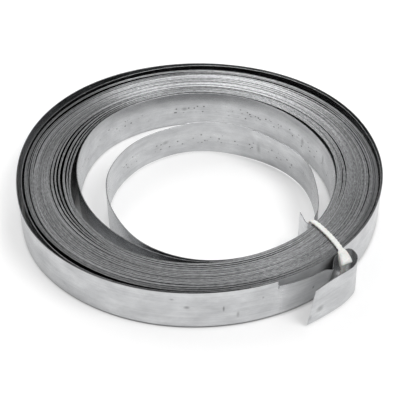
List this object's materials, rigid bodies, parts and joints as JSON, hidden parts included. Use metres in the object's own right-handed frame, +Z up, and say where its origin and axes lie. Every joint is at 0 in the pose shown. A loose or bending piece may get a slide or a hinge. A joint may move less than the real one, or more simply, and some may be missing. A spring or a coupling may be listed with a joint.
{
  "type": "coil of galvanized steel strip",
  "caption": "Loose coil of thin galvanized steel strip lying flat, with slack loops in its bore, held at one side by a white cable tie that both strip ends are folded round.",
  "frame": {"origin": "on the floor, under the middle of the box that holds the coil and its tail", "axes": "+Z up, along the coil's axis but for its slight lean on the tie's lower run; -Y towards the viewer of the picture, +X to the right"},
  "size_m": [0.2247, 0.2327, 0.0276],
  "materials": {
    "galvanized_steel": "galvanized, semi-bright, with smudges and dull spots",
    "white_nylon": "moulded nylon, satin"
  },
  "bodies": {
    "root": {"steel_strip": "galvanized_steel", "cable_tie": "white_nylon"}
  },
  "joints": []
}
